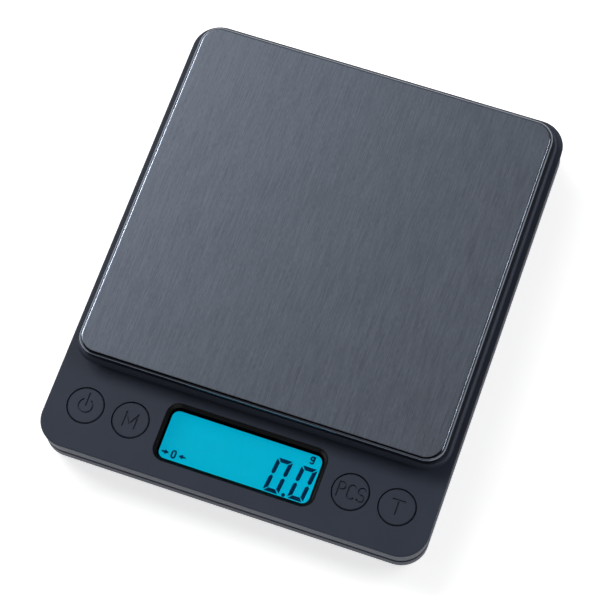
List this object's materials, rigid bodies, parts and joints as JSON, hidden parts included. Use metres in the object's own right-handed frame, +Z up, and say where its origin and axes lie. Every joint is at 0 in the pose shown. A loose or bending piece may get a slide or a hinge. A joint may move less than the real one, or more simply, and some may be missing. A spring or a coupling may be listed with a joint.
{
  "type": "counting scale",
  "caption": "Flat pocket counting scale: square brushed steel platform on a charcoal case, with a lit display between round push buttons along the front",
  "frame": {"origin": "on the table under the centre of the case, at the underside of the rubber feet", "axes": "+Z up; the display and buttons are at the -Y side, +X is to the right of someone reading them"},
  "size_m": [0.1064, 0.1284, 0.0192],
  "materials": {
    "case_plastic": "fine matt texture, charcoal",
    "button_plastic": "fine matt, charcoal",
    "brushed_steel": "dark tinted stainless, brushed front to back",
    "tray_plastic": "moulded, dark grey",
    "foam_tape": "thin double-sided foam tape",
    "foot_rubber": "soft matt rubber",
    "screw_steel": "zinc-plated steel",
    "aluminium": "milled aluminium",
    "gauge_foil": "foil on amber film",
    "wire_white": "insulation",
    "wire_red": "insulation",
    "wire_black": "insulation",
    "circuit_board": "green solder mask",
    "chip_black": "moulded chip",
    "crystal_can": "plated can",
    "capacitor_ceramic": "ceramic",
    "resistor_ceramic": "ceramic with black glaze",
    "switch_plastic": "moulded",
    "plunger_plastic": "moulded, ivory",
    "clear_lens": "clear window",
    "frame_plastic": "black, half gloss",
    "border_ink": "black print",
    "lcd_glass": "thin display glass",
    "lcd_lit_glass": "film lit from behind, cyan",
    "lcd_seal": "sealing bead",
    "lcd_ink": "darkened liquid crystal, navy",
    "backlight_panel": "light guide",
    "holder_plastic": "moulded, white",
    "zebra_rubber": "striped silicone rubber",
    "battery_jacket": "sleeved steel can",
    "contact_nickel": "nickel-plated spring steel"
  },
  "bodies": {
    "case": {"lower_case": "case_plastic", "upper_case": "case_plastic", "case_screws": "screw_steel", "rubber_feet": "foot_rubber", "load_cell_beam": "aluminium", "strain_gauges": "gauge_foil", "fixed_end_spacer": "aluminium", "load_cell_screws": "screw_steel", "gauge_wires": "wire_white", "main_board": "circuit_board", "board_screws": "screw_steel", "controller_chip": "chip_black", "clock_crystal": "crystal_can", "board_capacitors": "capacitor_ceramic", "board_resistors": "resistor_ceramic", "switch_bodies": "switch_plastic", "window_frame": "frame_plastic", "display_lens": "clear_lens", "lens_border": "border_ink", "lcd_front_glass": "lcd_glass", "lcd_edge_seal": "lcd_seal", "lcd_digits": "lcd_ink", "lcd_symbols": "lcd_ink", "lcd_rear_glass": "lcd_lit_glass", "lcd_backlight": "backlight_panel", "lcd_holder": "holder_plastic", "zebra_strip": "zebra_rubber", "front_battery": "battery_jacket", "rear_battery": "battery_jacket", "battery_springs": "contact_nickel", "battery_terminals": "contact_nickel", "battery_link": "contact_nickel", "battery_wire_red": "wire_red", "battery_wire_black": "wire_black"},
    "platform": {"platform_plate": "brushed_steel", "plate_tape": "foam_tape", "platform_tray": "tray_plastic", "live_end_spacer": "aluminium", "tray_screws": "screw_steel"},
    "power_key": {"power_button": "button_plastic", "power_switch_plunger": "plunger_plastic"},
    "mode_key": {"mode_button": "button_plastic", "mode_switch_plunger": "plunger_plastic"},
    "count_key": {"count_button": "button_plastic", "count_switch_plunger": "plunger_plastic"},
    "tare_key": {"tare_button": "button_plastic", "tare_switch_plunger": "plunger_plastic"},
    "battery_cover": {"battery_door": "case_plastic"}
  },
  "joints": [
    {"name": "platform_press", "type": "slide", "parent": "case", "child": "platform", "axis": [0, 0, 1], "range_m": [-0.0004, 0], "stiffness_N_per_m": 60000, "deforming": ["load_cell_beam"]},
    {"name": "power_press", "type": "slide", "parent": "case", "child": "power_key", "axis": [0, 0, 1], "range_m": [-0.0004, 0], "stiffness_N_per_m": 2500},
    {"name": "mode_press", "type": "slide", "parent": "case", "child": "mode_key", "axis": [0, 0, 1], "range_m": [-0.0004, 0], "stiffness_N_per_m": 2500},
    {"name": "count_press", "type": "slide", "parent": "case", "child": "count_key", "axis": [0, 0, 1], "range_m": [-0.0004, 0], "stiffness_N_per_m": 2500},
    {"name": "tare_press", "type": "slide", "parent": "case", "child": "tare_key", "axis": [0, 0, 1], "range_m": [-0.0004, 0], "stiffness_N_per_m": 2500},
    {"name": "battery_door_swing", "type": "hinge", "parent": "case", "child": "battery_cover", "pos_m": [0, 0.0295, 0.0019], "axis": [-1, 0, 0], "range_deg": [0, 80]}
  ]
}
